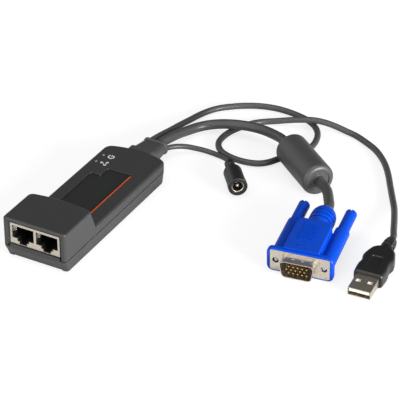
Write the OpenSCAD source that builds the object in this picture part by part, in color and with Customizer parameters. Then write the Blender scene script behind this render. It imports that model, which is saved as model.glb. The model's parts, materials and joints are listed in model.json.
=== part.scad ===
// Server interface module: a stepped housing with two network ports, and a relief that three leads leave.
// Origin at the bottom centre of housing and relief, +Y to the leads, +Z up, millimetres.

/* [Housing] */
// Length of the housing together with its cord relief
overall_l = 122; // [121:0.5:125]
// Length of the housing alone, up to the crest of its arched rear end
body_l = 104; // [103:0.5:105]
// Width across the parting line
body_w = 36.4; // [36.2:0.2:38]
// Height of the block that holds the ports
block_h = 23.8; // [23.6:0.2:26]
// Length of the block's top at its middle
block_l = 27.4; // [26:0.2:29]
// Height of the low deck
deck_h = 12.8; // [12.6:0.1:13.4]
// Height of the parting line
parting_z = 7.4; // [7.2:0.1:7.6]
// How far the chin below the ports recedes
chin_d = 2.6; // [2:0.2:3]
// Thickness of the moulded walls
wall = 1.8; // [1.6:0.1:2]
// Depth of the stepped recess in the deck
recess_d = 0.8; // [0.6:0.1:1]

/* [Ports] */
// Height of the plated frame
jack_h = 11.8; // [11.6:0.1:12]
// Depth of the plated frame
jack_l = 15.9; // [15.5:0.1:16.3]

/* [Leads] */
// Diameter of the monitor lead
vga_cord_d = 5.5; // [5:0.1:5.5]
// Diameter of the keyboard and mouse lead
usb_cord_d = 3.5; // [3:0.1:3.5]
// Diameter of the power lead
dc_cord_d = 2.9; // [2.4:0.1:2.9]
// Diameter of the moulding round the ferrite
ferrite_d = 18; // [17.4:0.2:18]
// Diameter of the thumb knobs
knob_d = 6.1; // [5.6:0.1:6.2]

/* [Hidden] */
$fn = 48;
overrun = 1;
front_y = -overall_l / 2;
tip_y = overall_l / 2;
half_w = body_w / 2;
crest_y = front_y + body_l;
corner_steps = 4;
arch_steps = 10;

// Housing
rear_rise = 3.4;
rear_r = 5;
front_r = 1.5;
block_foot = 3;
block_arch = 2;
foot_arch = 0.7;
block_r = 3;
foot_r = 1.6;
block_fillet = 1;
deck_fillet = 1.4;
seam = 0.3;
front_wall = 2.4;
base_wall = 2.4;
tongue_t = 0.5;
tongue_rise = 1.2;
tongue_gap = 0.1;
side_draft = 0.65;
bottom_fillet = 0.6;
floor_z = 2.4;
under_d = 0.9;
rail_w = 3.2;
under_end = 8;
chin_levels = [[0, 0], [0.14, 0.06], [0.42, 0.45], [0.75, 0.86], [0.92, 1]];
rim_side = 2.5;
rim_top = 1.7;
rim_d = 0.9;
window_gap = 0.35;
lip_gap = 0.25;
lip_d = 3;
lip_z = 8.9;
recess_in = 7.2;
recess_jog = 6;
recess_edge = 8.3;
recess_left = recess_in - half_w;
recess_mid = recess_left + recess_jog;
recess_right = half_w - recess_edge;
recess_step = 72;
recess_rear = 79.5;
recess_r = 0.7;
inlay_t = 0.4;
inlay_gap = 0.1;
pad_t = 1.4;
pad_rim = 1.2;
stripe_w = 0.9;
stripe_h = 1;
pipe_d = 1.3;
pipe_gap = 0.03;
pipe_in = [4.2, 3.9];
pipe_y = [90.1, 82.9];
pipe_spots = [for (i = [0, 1]) [pipe_in[i] - half_w, pipe_y[i]]];
pipe_proud = 0.05;

// Fixings
boss_in = 6.6;
boss_x = half_w - boss_in;
boss_spots = [36, 70];
boss_d = 4.8;
boss_hole_d = 2.1;
boss_hole_l = 5.6;
post_d = 6;
post_z = 4.4;
head_d = 4;
head_h = 1.4;
head_gap = 0.2;
seat_z = 2.6;
screw_d = 2;
screw_l = 7;
shank_gap = 0.2;
drive_w = 0.6;
drive_l = 2.4;
drive_d = 0.7;

// Circuit board
board_t = 1.6;
board_z = 7.7;
board_gap = 0.4;
board_w = body_w - 2 * base_wall - 2 * board_gap;
board_front = 3.2;
board_rear = 93;
board_r = 3;
peg_in = 8.2;
peg_x = half_w - peg_in;
peg_spots = [12, 84];
peg_d = 4;
pin_d = 1.8;
pin_gap = 0.1;
pin_rise = 1.4;
boss_clear = 0.4;

// Ports
plate_t = 0.35;
jack_side = 3.8;
jack_w = body_w - 2 * jack_side;
port_pitch_share = 0.48507;
port_pitch = jack_w * port_pitch_share;
port_w_share = 0.9;
port_w = port_pitch * port_w_share;
port_lo = 3.4;
port_hi = 10.5;
latch_w_share = 0.5333;
latch_w = port_w * latch_w_share;
latch_lo = 1.9;
key_w_share = 0.35;
key_w = port_w * key_w_share;
key_lo = 0.4;
port_depth = 12.5;
port_inset = 0.1;
insert_gap = 0.05;
wire_pitch_share = 0.0812;
wire_pitch = port_w * wire_pitch_share;
wire_w_share = 0.35;
wire_w = wire_pitch * wire_w_share;
wire_t = 0.3;
wire_gap = 0.06;
wire_front = 2.6;
wire_end = 12.4;
wire_tip = [9.6, 3.1];
tab_t = 0.3;
tab_lo = 6.6;
tab_hi = 9.4;
tab_path = [[0, 0], [1.1, 0.4], [2.3, 1.2]];

// Cord relief
collar_l = 3.5;
collar_w = 16;
collar_lo = 2;
collar_hi = 12.3;
neck_w = 15.7;
neck_lo = 2.95;
neck_hi = 11.05;
neck_gap = 0.15;
flange_w = 18.8;
flange_lo = 2.6;
flange_hi = 10.9;
flange_y = 6;
flange_t = 2.4;
tail_rings = [[3.2, 7.6, 2.1, 11.4], [5, 7.35, 2.2, 11], [10, 7.1, 2.4, 10.3], [16.2, 6.8, 2.7, 9.6],
    [16.7, 7.2, 2.3, 10], [17.7, 7.3, 2.3, 10], [18, 7.1, 2.5, 9.8]];
tail_r = 2.6;
slot_from = 2.4;
slot_to = 7.4;
slot_y = 3;
slot_w = 1.2;
slot_z = 8.6;
// Where each lead leaves the relief
usb_exit = [-3.8, 7];
vga_exit = [0.9, 6.3];
dc_exit = [5.2, 5];

// Monitor plug
vga_at = [119.4, -67, 7.2];
vga_turn = [4.9, 0, 8.5];
flange_plate = [30.8, 12.4, 0.8];
flange_plate_r = 1;
hole_x = 12.5;
hole_d = 3.3;
d_w = 18.6;
d_h = 9.7;
d_r = 2.4;
d_slant = 10;
d_l = 5.8;
d_wall = 0.4;
dent_x_share = 0.26;
dent_y = 3.1;
dent_d = 1.7;
dent_h = 0.2;
rim_w = 0.45;
rim_l = 0.7;
core_face = 0.8;
core_gap = 0.05;
core_step = 0.6;
core_l = 3.2;
pin_r = 0.38;
pin_step = 2.29;
row_step = 1.98;
pin_tip = 5.2;
pin_tail = 5.6;
lip_w = 34.4;
lip_h = 14.2;
lip_from = -0.1;
lip_to = 3;
lip_r = 3;
lip_edge = 0.5;
pocket_gap = 0.05;
pocket_l = 8;
hood_w = 18.6;
hood_tail_w = 15.2;
hood_top = 8.2;
hood_under = 6.9;
hood_back = 27.6;
hood_cut = 3;
hood_edge = 0.9;
tube_r = 3.9;
tube_l = 31;
web_h = 6.2;
web_l = 24;
relief_profile = [[26.5, 4], [27, 5.4], [28.6, 6], [31, 6.3], [32.6, 6.5], [32.6, 5.8], [33.5, 5.8],
    [33.5, 6.6], [35.5, 6.7], [35.5, 5.9], [36.4, 5.9], [36.4, 6.7], [38.4, 6.7], [38.4, 5.9],
    [39.3, 5.9], [39.3, 6.65], [41.1, 6.4], [41.1, 5.6], [42, 5.6], [42, 6.1], [43.7, 5.3],
    [45, 4.4], [45.8, 3.5], [45.8, 0], [26.5, 0]];
rib_w = 8;
rib_t = 0.75;
rib_h = 0.4;
rib_from = 9.5;
rib_pitch = 1.54;
rib_count = 9;
rib_lone = 4;
knob_bore_gap = 0.25;
knob_bore_y = 24;
knob_y = 24.4;
knob_end = 47.8;
knob_edge = 0.5;
knob_slot_w = 1;
knob_slot_d = 1.2;
screw_bore_gap = 0.2;
jack_screw_d = 2.8;
jack_screw_tip = 0.3;
jack_screw_seat = 30;
seat_gap = 0.05;

// Keyboard and mouse plug
usb_at = [152.3, -58.3, 4.3];
usb_turn = [3.7, 0, 3.7];
usb_w = 12;
usb_h = 4.5;
usb_l = 12;
usb_in = 6;
usb_t = 0.35;
usb_r = 0.6;
usb_gap = 0.05;
usb_hole = [2.5, 2.2];
usb_hole_x = 3;
usb_hole_y = 5;
usb_tongue = [10.8, 1.95];
usb_tongue_in = 0.3;
usb_pads = [-3.5, -1, 1, 3.5];
usb_pad_w = 1;
usb_pad_t = 0.15;
usb_pad_in = 0.7;
mould_rings = [[0, 7.2, 3.8], [0.6, 7.6, 4.2], [5, 7.9, 4.2], [7.8, 7.8, 4.2], [9.4, 7.35, 4.2], [11.4, 7.35, 4.1],
    [13, 7.9, 4.1], [14.5, 8.15, 4.1], [16.5, 7.95, 4], [19, 7.3, 3.9], [22, 6.3, 3.8], [23.3, 5, 3.7],
    [24, 3.7, 3.6]];
mould_r = 2.2;
usb_relief = [[22, 3.2], [24.5, 3.6], [26.6, 3.6], [26.6, 3], [27.5, 3], [27.5, 3.6], [29.1, 3.55],
    [29.1, 2.9], [30, 2.9], [30, 3.45], [31.6, 3.3], [31.6, 2.7], [32.4, 2.7], [32.4, 3.1], [34, 2.7],
    [34, 0], [22, 0]];
grip_from = 5.2;
grip_to = 14.6;
grip_w = 5.8;
grip_d = 0.5;
grip_r = 1;

// Power socket
dc_at = [58.1, -15.45, 5.7];
dc_turn = [-2.5, 0, 37.8];
dc_profile = [[-0.6, 4.9], [-0.3, 5.2], [2.7, 5.2], [3, 5], [15.6, 5], [16.4, 4.7], [19.6, 2.9],
    [20.2, 2.4], [21.2, 2.4], [21.7, 2.8], [25.2, 2.8], [25.7, 2.5], [25.7, 0], [-0.6, 0]];
sleeve_d = 6.65;
sleeve_in = 5.5;
sleeve_l = 9.5;
sleeve_gap = 0.03;
sleeve_flare = 0.3;
dc_disc_t = 1.6;
dc_pin_d = 2;
dc_pin_in = 0.8;
dc_pin_r = 0.5;

// Ferrite
ferrite_at = [95.24, 5.45, 9];
ferrite_turn = [0, 0, 50.5];
ferrite_l = 37;
ferrite_edge = 2.4;
ferrite_step = 0.6;
ferrite_collar = 1;
cord_gap = 0.05;
core_d = 14.8;
core_hole_d = 6.3;
core_len = 28;
core_clear = 0.1;

// Points along each lead, measured from the tip of the relief, height from the floor
usb_route = [[-3.8, 0, 7], [-3.8, 3, 7], [-3.08, 8.78, 6.6], [-1.76, 18.56, 5.5], [-1.14, 28.34, 4],
    [-0.02, 38.62, 2.6], [1.4, 47.4, 1.8], [4.1, 53.9, 1.8], [7.6, 59.2, 1.8], [12.1, 63.4, 1.8],
    [16.6, 66.9, 1.8], [21.6, 69.9, 1.8], [26.6, 72.2, 1.8], [32.1, 73.7, 1.8], [38.1, 74.4, 1.8],
    [44.6, 74, 1.8], [51.1, 72.8, 1.8], [56.6, 71.1, 1.8], [61.1, 68.6, 1.8], [65.2, 64.9, 1.8],
    [68.5, 60.1, 1.8], [70.7, 54.1, 1.8], [71.6, 47.4, 1.8], [70.8, 40.9, 1.8], [68, 35.2, 1.8],
    [64.5, 30, 1.8], [61.4, 25.4, 1.8], [58.7, 20.6, 1.8], [54.9, 16.7, 1.8], [49.8, 14.7, 1.8],
    [44, 14.1, 1.8], [37.6, 14.9, 1.8], [31.8, 17.1, 1.8], [27.6, 20.7, 1.8], [25, 25.4, 1.8],
    [24.2, 30.9, 1.8], [24.8, 37.4, 1.8], [26.6, 43.1, 1.8], [29.4, 49.1, 1.8], [32.8, 54.1, 1.8],
    [37, 57.9, 1.8], [41.94, 60.53, 2.2], [47.19, 62.59, 3.1], [52.77, 63.98, 4.3], [58.47, 65.14, 5.4],
    [64.11, 66.56, 5.8], [69.65, 68.21, 5], [75.35, 69.4, 3.6], [81.5, 69.43, 2.4], [88.1, 68.4, 1.8],
    [95.6, 64.7, 1.8], [102.9, 60.3, 1.8], [108.9, 54.9, 1.8], [114.6, 48.2, 1.8], [120.3, 39.4, 1.8],
    [125.6, 29.9, 1.8], [131.4, 19.5, 1.9], [136.48, 10.12, 2.5], [140.66, 0.74, 3.8],
    [144.64, -9.04, 5.3], [147.32, -15.82, 6.4], [149.3, -20.4, 6.8], [150.1, -24.41, 6.49]];
vga_near_route = [[0.9, 0, 6.3], [1.2, 4, 6.3], [2.19, 9.15, 6.1], [3.38, 16.3, 5.3],
    [5.67, 24.94, 4.1], [8.87, 31.94, 3.7], [13.57, 36.34, 4.2], [19.17, 38.14, 5.4],
    [24.97, 39.04, 6.5], [30.97, 40.34, 6.9], [37.87, 41.64, 6.8], [45.07, 41.34, 6.9],
    [51.88, 39.3, 7.3], [58.19, 35.55, 8.5], [63.1, 31.9, 9], [66.69, 28.98, 9]];
vga_far_route = [[95.24, 5.45, 9], [97.8, 3.35, 9.05], [101.2, 0.6, 9.2], [104.7, -4, 9.6],
    [108, -10, 10.3], [110.8, -15.3, 10.9], [112.42, -20.3, 11.25]];
dc_route = [[5.2, 0, 5], [5.7, 2.2, 4.9], [8.43, 6.21, 4.5], [12.67, 10.02, 3.7], [17.67, 12.52, 2.7],
    [22.87, 14.02, 1.9], [28.57, 14.12, 1.5], [34.07, 12.22, 2.2], [38.63, 9.11, 3.6], [40.8, 6.9, 4.4],
    [42.36, 4.84, 4.58]];
inner_l = 4;

// Parts on the board: centre x, distance from the front face, size along x, y and z
chip_shares = [0.38, 0.29, 0.18, 0.36, 0.78, 0.28];
processor_spot = [0, 47, board_w * chip_shares[0], 12, 1.4];
video_spot = [0, 63, board_w * chip_shares[1], 9, 1.3];
memory_spots = [for (s = [-1, 1]) [s * board_w * chip_shares[3], 52, board_w * chip_shares[2], 12, 1.1]];
magnetics_spot = [0, 22.4, board_w * chip_shares[4], 6.6, 5.6];
inductor_spots = [for (y = [62, 79]) [board_w * chip_shares[5], y, 4.2, 4.8, 3]];
capacitor_spots = [[-9.4, 77.5], [-4.4, 77.5], [0.6, 77.5], [3.8, 31.5], [-3.8, 31.5]];
capacitor_d = 4;
capacitor_h = 4.2;
led_box = [1.6, 1.2, 0.8];
header_box = [14, 5.6, 4];
header_y = 88.2;
lead_foot = 0.35;
lead_out = 0.9;
lead_drop = 0.5;
lead_pitch = 1.3;

// Colours
shell_grey = [0.2, 0.2, 0.205];
inlay_black = [0.1, 0.1, 0.1];
orange = [0.85, 0.3, 0.08];
light_grey = [0.85, 0.85, 0.83];
nickel = [0.78, 0.76, 0.72];
port_black = [0.05, 0.05, 0.05];
gold = [0.85, 0.65, 0.25];
soft_grey = [0.3, 0.3, 0.3];
blue = [0.02, 0.25, 0.75];
board_green = [0.05, 0.3, 0.15];
chip_black = [0.1, 0.1, 0.11];
silver = [0.8, 0.8, 0.8];
ferrite_grey = [0.25, 0.25, 0.26];

function unit(v) = v / norm(v);
function arc(c, r, a0, a1, n) =
    [for (i = [0:n]) c + r * [cos(a0 + (a1 - a0) * i / n), sin(a0 + (a1 - a0) * i / n)]];
function at_z(p, z) = [for (q = p) [q[0], q[1], z]];
function mix(a, b, t) = a + (b - a) * t;

// A polygon with every corner rounded to radius r
function soft(p, r) = [for (i = [0:len(p) - 1])
    let (a = p[(i + len(p) - 1) % len(p)], b = p[i], c = p[(i + 1) % len(p)],
        u = unit(a - b), v = unit(c - b), h = acos(u * v) / 2, o = b + unit(u + v) * r / sin(h),
        s = b + u * r / tan(h) - o, e = b + v * r / tan(h) - o,
        a0 = atan2(s[1], s[0]), a1 = atan2(e[1], e[0]),
        da = a1 - a0 > 180 ? a1 - a0 - 360 : a1 - a0 < -180 ? a1 - a0 + 360 : a1 - a0)
    each arc(o, r, a0, a0 + da, corner_steps)];

// A rectangle centred on x, from y0 to y1, with rounded corners
function panel(w, y0, y1, r) = soft([[-w / 2, y0], [w / 2, y0], [w / 2, y1], [-w / 2, y1]], r);

// The housing seen from above: straight sides, small front corners, an arched rear edge
function plan(w, front, crest, rise, rf, rr) =
    let (big = (w * w + rise * rise) / (2 * rise), mid = crest - big, kx = w - rr,
        ky = mid + sqrt(pow(big - rr, 2) - kx * kx), t = atan2(ky - mid, kx),
        edge = arc([0, mid], big, t, 180 - t, arch_steps))
    concat(arc([-w + rf, front + rf], rf, 180, 270, corner_steps),
        arc([w - rf, front + rf], rf, 270, 360, corner_steps),
        arc([kx, ky], rr, 0, t, corner_steps),
        [for (i = [1:arch_steps - 1]) edge[i]],
        arc([-kx, ky], rr, 180 - t, 180, corner_steps));

// The same outline moved inwards by d
function inner_plan(w, front, crest, rise, rf, rr, d) =
    plan(w - d, front + d, crest - d, rise * (w - d) / w, max(rf - d, rf / 5), rr - d);

// A closed solid through rings that all have the same number of points
module loft(rings) {
    n = len(rings[0]);
    m = len(rings);
    polyhedron([for (r = rings) each r],
        concat([[for (i = [0:n - 1]) i]], [[for (i = [n - 1:-1:0]) (m - 1) * n + i]],
            [for (k = [0:m - 2], i = [0:n - 1]) [k * n + i, (k + 1) * n + i, (k + 1) * n + (i + 1) % n]],
            [for (k = [0:m - 2], i = [0:n - 1]) [k * n + i, (k + 1) * n + (i + 1) % n, k * n + (i + 1) % n]]));
}

// Turns a shape drawn in x and -z and raised along z into one that runs along +Y
module along_y() {
    rotate([-90, 0, 0]) children();
}

// A round piece along +Y from a list of distances and radii
module turned_y(profile) {
    along_y() rotate_extrude() polygon([for (p = profile) [p[1], p[0]]]);
}

module rod_y(d, y0, y1) {
    translate([0, y0, 0]) along_y() cylinder(d = d, h = y1 - y0);
}

// A round cord through a list of points
module cord(route, d, n) {
    m = len(route);
    dirs = [for (i = [0:m - 1]) unit(route[min(i + 1, m - 1)] - route[max(i - 1, 0)])];
    loft([for (i = [0:m - 1])
        let (t = dirs[i], s = unit(cross([0, 0, 1], t)), u = cross(t, s))
        [for (k = [0:n - 1]) route[i] + d / 2 * (cos(360 * k / n) * s + sin(360 * k / n) * u)]]);
}

function block_ring(t, d, z) =
    at_z(inner_plan(half_w, front_y, front_y + mix(block_l + block_foot, block_l, t),
        mix(foot_arch, block_arch, t), front_r, mix(foot_r, block_r, t), d), z);

module deck_form() {
    front = front_y + block_l / 2;
    loft([at_z(inner_plan(half_w, front, crest_y, rear_rise, front_r, rear_r, 0), parting_z + seam),
        for (a = [0:22.5:90])
            at_z(inner_plan(half_w, front, crest_y, rear_rise, front_r, rear_r, deck_fillet * (1 - cos(a))),
                deck_h - deck_fillet * (1 - sin(a)))]);
}

module block_form() {
    loft([block_ring(0, 0, parting_z + seam), block_ring(0, 0, deck_h),
        for (a = [0:22.5:90])
            block_ring((block_h - block_fillet * (1 - sin(a)) - deck_h) / (block_h - deck_h),
                block_fillet * (1 - cos(a)), block_h - block_fillet * (1 - sin(a)))]);
}

// Space inside the upper moulding
module upper_hollow() {
    loft([for (z = [parting_z - overrun, deck_h - wall])
        at_z(plan(half_w - wall, front_y + block_l / 2 - overrun, crest_y - wall,
            rear_rise * (half_w - wall) / half_w, front_r, rear_r - wall), z)]);
    loft([for (s = [[0, parting_z - overrun], [0, deck_h], [1, block_h - wall]])
        at_z(plan(half_w - wall, front_y + front_wall,
            front_y + mix(block_l + block_foot, block_l, s[0]) - wall,
            mix(foot_arch, block_arch, s[0]), front_r, mix(foot_r, block_r, s[0]) / 2), s[1])]);
}

recess_front = block_l + block_foot + inlay_gap;
function recess_path(d) = [for (p = soft([[recess_left + d, recess_front + d], [recess_right - d, recess_front + d],
    [recess_right - d, recess_rear - d], [recess_mid + d, recess_rear - d],
    [recess_mid + d, recess_step - d], [recess_left + d, recess_step - d]], recess_r)) p + [0, front_y]];

module upper_shell() {
    color(shell_grey) difference() {
        union() {
            difference() {
                union() {
                    deck_form();
                    block_form();
                }
                upper_hollow();
            }
            translate([0, 0, deck_h - recess_d - inlay_t - pad_t]) linear_extrude(pad_t)
                polygon(recess_path(-pad_rim));
            for (y = boss_spots, s = [-1, 1])
                translate([s * boss_x, front_y + y, post_z])
                    cylinder(d = boss_d, h = deck_h - wall - post_z + wall / 2);
        }
        for (y = boss_spots, s = [-1, 1])
            translate([s * boss_x, front_y + y, post_z - overrun])
                cylinder(d = boss_hole_d, h = boss_hole_l + overrun);
        // Stepped recess of the deck
        translate([0, 0, deck_h - recess_d - inlay_t]) linear_extrude(recess_d + inlay_t + overrun)
            polygon(recess_path(0));
        // Shallow front recess round the ports, then the window
        translate([0, front_y + rim_d, 0]) rotate([90, 0, 0]) linear_extrude(rim_d + overrun)
            polygon(soft([[-half_w + rim_side, parting_z - overrun], [half_w - rim_side, parting_z - overrun],
                [half_w - rim_side, block_h - rim_top], [-half_w + rim_side, block_h - rim_top]], front_r / 2));
        translate([-jack_w / 2 - window_gap, front_y - overrun, parting_z - overrun])
            cube([jack_w + 2 * window_gap, front_wall + 2 * overrun,
                board_z + board_t + jack_h + window_gap - parting_z + overrun]);
        for (p = pipe_spots)
            translate([p[0], front_y + p[1], deck_h - wall - overrun])
                cylinder(d = pipe_d + 2 * pipe_gap, h = wall + 2 * overrun);
        relief_opening();
    }
}

// The hole in the rear wall that the cord relief's neck passes
module relief_opening() {
    translate([0, crest_y - rear_r, 0]) along_y() linear_extrude(rear_r + overrun)
        polygon(panel(neck_w + 2 * neck_gap, -neck_hi - neck_gap, -neck_lo + neck_gap, tail_r));
}

function base_ring(z) =
    let (t = (parting_z - z) / parting_z,
        f = chin_d * lookup(t, chin_levels))
    at_z(plan(half_w - side_draft * t, front_y + f, crest_y - side_draft * t, rear_rise, front_r, rear_r), z);

module lower_shell() {
    color(shell_grey) difference() {
        union() {
            difference() {
                loft([at_z(plan(half_w - side_draft - bottom_fillet, front_y + chin_d + bottom_fillet,
                        crest_y - side_draft - bottom_fillet, rear_rise, front_r, rear_r), 0),
                    for (c = [4:-1:0]) base_ring(parting_z * (1 - chin_levels[c][0]))]);
                loft([at_z(plan(half_w - side_draft - base_wall, front_y + chin_d + base_wall,
                        crest_y - side_draft - base_wall, rear_rise, front_r, rear_r - base_wall), floor_z),
                    for (z = [parting_z, parting_z + overrun])
                        at_z(plan(half_w - base_wall, front_y + lip_d, crest_y - base_wall,
                            rear_rise, front_r, rear_r - base_wall), z)]);
            }
            // Tongue that the upper moulding closes over, and the lip below the ports
            translate([0, 0, parting_z - seam]) linear_extrude(tongue_rise + seam) difference() {
                polygon(plan(half_w - wall - tongue_gap, front_y + front_wall + tongue_gap,
                    crest_y - wall - tongue_gap, rear_rise, front_r, rear_r - wall));
                polygon(plan(half_w - base_wall, front_y + lip_d, crest_y - base_wall,
                    rear_rise, front_r, rear_r - base_wall));
            }
            translate([-jack_w / 2 - window_gap + lip_gap, front_y + tongue_gap, parting_z - seam])
                cube([jack_w + 2 * window_gap - 2 * lip_gap, lip_d - tongue_gap, lip_z - parting_z + seam]);
            for (y = boss_spots, s = [-1, 1])
                translate([s * boss_x, front_y + y, floor_z - seam])
                    cylinder(d = post_d, h = post_z - floor_z + seam);
            for (y = peg_spots, s = [-1, 1]) translate([s * peg_x, front_y + y, floor_z - seam]) {
                cylinder(d = peg_d, h = board_z - floor_z + seam);
                cylinder(d = pin_d, h = board_z - floor_z + seam + pin_rise);
            }
        }
        // Underside hollow between the side rails
        translate([0, 0, -overrun]) linear_extrude(under_d + overrun)
            polygon(panel(body_w - 2 * side_draft - 2 * rail_w, front_y - overrun, crest_y - under_end, front_r));
        for (y = boss_spots, s = [-1, 1]) translate([s * boss_x, front_y + y, 0]) {
            translate([0, 0, -overrun]) cylinder(d = head_d + 2 * head_gap, h = seat_z + overrun);
            translate([0, 0, seat_z - overrun]) cylinder(d = screw_d + 2 * shank_gap, h = post_z - seat_z + 2 * overrun);
        }
        relief_opening();
    }
}

module label_inlay() {
    color(inlay_black) translate([0, 0, deck_h - recess_d - inlay_t]) linear_extrude(inlay_t)
        difference() {
            polygon(recess_path(inlay_gap));
            translate([recess_right - stripe_w - 2 * inlay_gap, front_y])
                square([stripe_w + 2 * inlay_gap, recess_rear]);
        }
}

module accent_stripe() {
    color(orange) translate([recess_right - stripe_w - inlay_gap, front_y + recess_front + recess_r,
            deck_h - recess_d - inlay_t])
        cube([stripe_w, recess_rear - recess_front - 2 * recess_r, stripe_h]);
}

module light_pipes() {
    z0 = board_z + board_t + led_box[2];
    color(light_grey) for (p = pipe_spots)
        translate([p[0], front_y + p[1], z0]) cylinder(d = pipe_d, h = deck_h + pipe_proud - z0);
}

// Outline of one port opening, x across and z up, drawn from the frame's lower edge
function port_path(d) = [[-port_w / 2 + d, port_hi - d], [-port_w / 2 + d, port_lo + d],
    [-latch_w / 2 + d, port_lo + d], [-latch_w / 2 + d, latch_lo + d], [-key_w / 2 + d, latch_lo + d],
    [-key_w / 2 + d, key_lo + d], [key_w / 2 - d, key_lo + d], [key_w / 2 - d, latch_lo + d],
    [latch_w / 2 - d, latch_lo + d], [latch_w / 2 - d, port_lo + d], [port_w / 2 - d, port_lo + d],
    [port_w / 2 - d, port_hi - d]];

module at_jack() {
    translate([0, front_y + rim_d + plate_t / 8, board_z + board_t]) children();
}

module jack_shield() {
    color(nickel) at_jack() {
        difference() {
            translate([-jack_w / 2, 0, 0]) cube([jack_w, jack_l, jack_h]);
            translate([-jack_w / 2 + plate_t, plate_t, -overrun])
                cube([jack_w - 2 * plate_t, jack_l - 2 * plate_t, jack_h - plate_t + overrun]);
            for (s = [-1, 1]) translate([s * port_pitch / 2, plate_t + overrun, 0]) rotate([90, 0, 0])
                linear_extrude(plate_t + 2 * overrun) polygon(port_path(0));
        }
        // Grounding tabs bent in from the left edge of each opening
        for (s = [-1, 1]) translate([s * port_pitch / 2 - port_w / 2, 0, tab_lo])
            linear_extrude(tab_hi - tab_lo) polygon(concat(
                [for (p = tab_path) [p[1], p[0]]],
                [for (i = [2:-1:0]) [tab_path[i][1] - tab_t, tab_path[i][0] + tab_t / 4]]));
    }
}

module jack_insert() {
    front = plate_t + insert_gap;
    color(port_black) at_jack() difference() {
        translate([-jack_w / 2 + front, front, 0])
            cube([jack_w - 2 * front, jack_l - 2 * front, jack_h - front]);
        for (s = [-1, 1]) translate([s * port_pitch / 2, 0, 0]) {
            translate([0, port_depth, 0]) rotate([90, 0, 0]) linear_extrude(port_depth)
                polygon(port_path(port_inset));
            // Room for the grounding tab
            translate([-port_w / 2 - 2 * tab_t, 0, tab_lo - 2 * tab_t])
                cube([port_w / 4, tab_path[2][0] + 2 * tab_t, tab_hi - tab_lo + 4 * tab_t]);
            for (i = [0:7]) translate([(i - 3.5) * wire_pitch - wire_w / 2 - wire_gap, wire_front - wire_t, port_lo])
                cube([wire_w + 2 * wire_gap, wire_end + 2 * wire_t - wire_front, port_hi - port_lo + wire_t]);
        }
    }
}

module jack_contacts() {
    top = port_hi + wire_t;
    color(gold) at_jack() for (s = [-1, 1], i = [0:7])
        translate([s * port_pitch / 2 + (i - 3.5) * wire_pitch + wire_w / 2, 0, top]) rotate([0, -90, 0])
            linear_extrude(wire_w) polygon([[0, wire_end], [0, wire_front + wire_t], [-wire_t, wire_front],
                [-2 * wire_t, wire_front], [-wire_tip[1], wire_tip[0]], [-wire_tip[1] + wire_t, wire_tip[0] + wire_t],
                [-2 * wire_t, wire_front + 4 * wire_t], [-wire_t, wire_front + 6 * wire_t], [-wire_t, wire_end]]);
}

module strain_relief_boot() {
    root = crest_y;
    color(soft_grey) {
        difference() {
            translate([0, root - collar_l / 2, 0]) along_y() linear_extrude(collar_l * 3 / 2)
                polygon(panel(collar_w, -collar_hi, -collar_lo, tail_r));
            translate([0, 0, -overrun]) linear_extrude(block_h)
                polygon(plan(half_w, front_y, crest_y, rear_rise, front_r, rear_r));
            relief_slot();
        }
        difference() {
            translate([0, root, 0]) along_y() loft([for (q = tail_rings)
                at_z(panel(2 * q[1], -q[3], -q[2], tail_r), q[0] * (tip_y - root) / (overall_l - body_l))]);
            relief_slot();
        }
        translate([0, root - flange_y, 0]) along_y() {
            linear_extrude(flange_y + collar_l) polygon(panel(neck_w, -neck_hi, -neck_lo, tail_r));
            linear_extrude(flange_t) polygon(panel(flange_w, -flange_hi, -flange_lo, tail_r));
        }
    }
}

module relief_slot() {
    translate([slot_from, crest_y + slot_y, slot_z]) cube([slot_to - slot_from, slot_w, collar_hi]);
}

module circuit_board() {
    color(board_green) translate([0, 0, board_z]) linear_extrude(board_t) difference() {
        polygon(panel(board_w, front_y + board_front, front_y + board_rear, board_r));
        for (y = boss_spots, s = [-1, 1]) translate([s * boss_x, front_y + y]) circle(d = boss_d + 2 * boss_clear);
        for (y = peg_spots, s = [-1, 1]) translate([s * peg_x, front_y + y]) circle(d = pin_d + 2 * pin_gap);
    }
}

// A flat package under the board with bent leads along two edges
module flat_chip(spot) {
    translate([spot[0], front_y + spot[1], board_z]) {
        translate([-spot[2] / 2, -spot[3] / 2, -spot[4]]) cube([spot[2], spot[3], spot[4]]);
        count = floor((spot[3] - lead_pitch) / lead_pitch);
        for (s = [-1, 1], i = [0:count - 1])
            translate([s * (spot[2] / 2 + lead_out / 2) - lead_out / 2, (i - (count - 1) / 2) * lead_pitch - lead_foot / 2,
                    -lead_drop])
                cube([lead_out, lead_foot, lead_drop]);
    }
}

module processor_chip() {
    color(chip_black) flat_chip(processor_spot);
}

module video_chip() {
    color(chip_black) flat_chip(video_spot);
}

module memory_chips() {
    color(chip_black) for (s = memory_spots) flat_chip(s);
}

module network_magnetics() {
    s = magnetics_spot;
    color(chip_black) translate([s[0], front_y + s[1], board_z + board_t]) difference() {
        translate([-s[2] / 2, -s[3] / 2, 0]) cube([s[2], s[3], s[4]]);
        translate([0, 0, s[4] - lead_foot]) cylinder(d = lead_pitch, h = overrun);
    }
}

module power_inductors() {
    color(ferrite_grey) for (s = inductor_spots) translate([s[0], front_y + s[1], board_z - s[4]]) {
        linear_extrude(s[4]) polygon([for (p = panel(s[2], -s[3] / 2, s[3] / 2, lead_pitch)) p]);
    }
}

module board_capacitors() {
    color(silver) for (s = capacitor_spots)
        translate([s[0], front_y + s[1], board_z - capacitor_h]) cylinder(d = capacitor_d, h = capacitor_h);
}

module status_leds() {
    color(light_grey) for (p = pipe_spots)
        translate([p[0] - led_box[0] / 2, front_y + p[1] - led_box[1] / 2, board_z + board_t]) cube(led_box);
}

module wire_header() {
    color(light_grey) translate([-header_box[0] / 2, front_y + header_y, board_z - header_box[2]])
        cube(header_box);
}

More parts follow.
